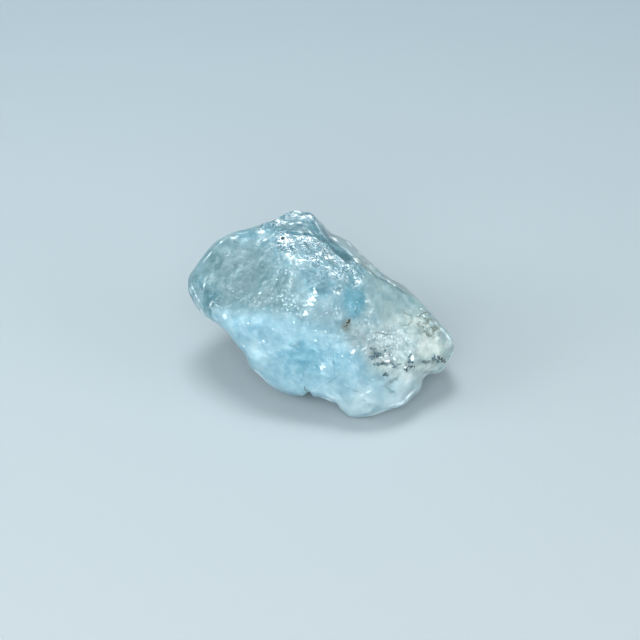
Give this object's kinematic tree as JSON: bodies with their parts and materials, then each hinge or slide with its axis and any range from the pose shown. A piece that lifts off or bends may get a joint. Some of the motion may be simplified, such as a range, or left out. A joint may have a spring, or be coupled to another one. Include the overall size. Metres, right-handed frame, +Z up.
{
  "type": "rough aquamarine crystal",
  "caption": "Rough, uncut aquamarine: a pale blue see-through fragment with worn faces, a rough crest and a flat face it rests on.",
  "frame": {"origin": "the middle of the bounding box's underside, at the height of the flat face that the stone rests on", "axes": "+Z up, +X along the stone's length towards its low end, -Y towards the foot of its broad side"},
  "size_m": [0.0246, 0.0166, 0.015],
  "materials": {
    "aquamarine": "Pale blue beryl, clear to cloudy, with worn glossy faces and a rough, glittering crest; IOR about 1.58."
  },
  "bodies": {
    "root": {"aquamarine_crystal": "aquamarine"}
  },
  "joints": []
}
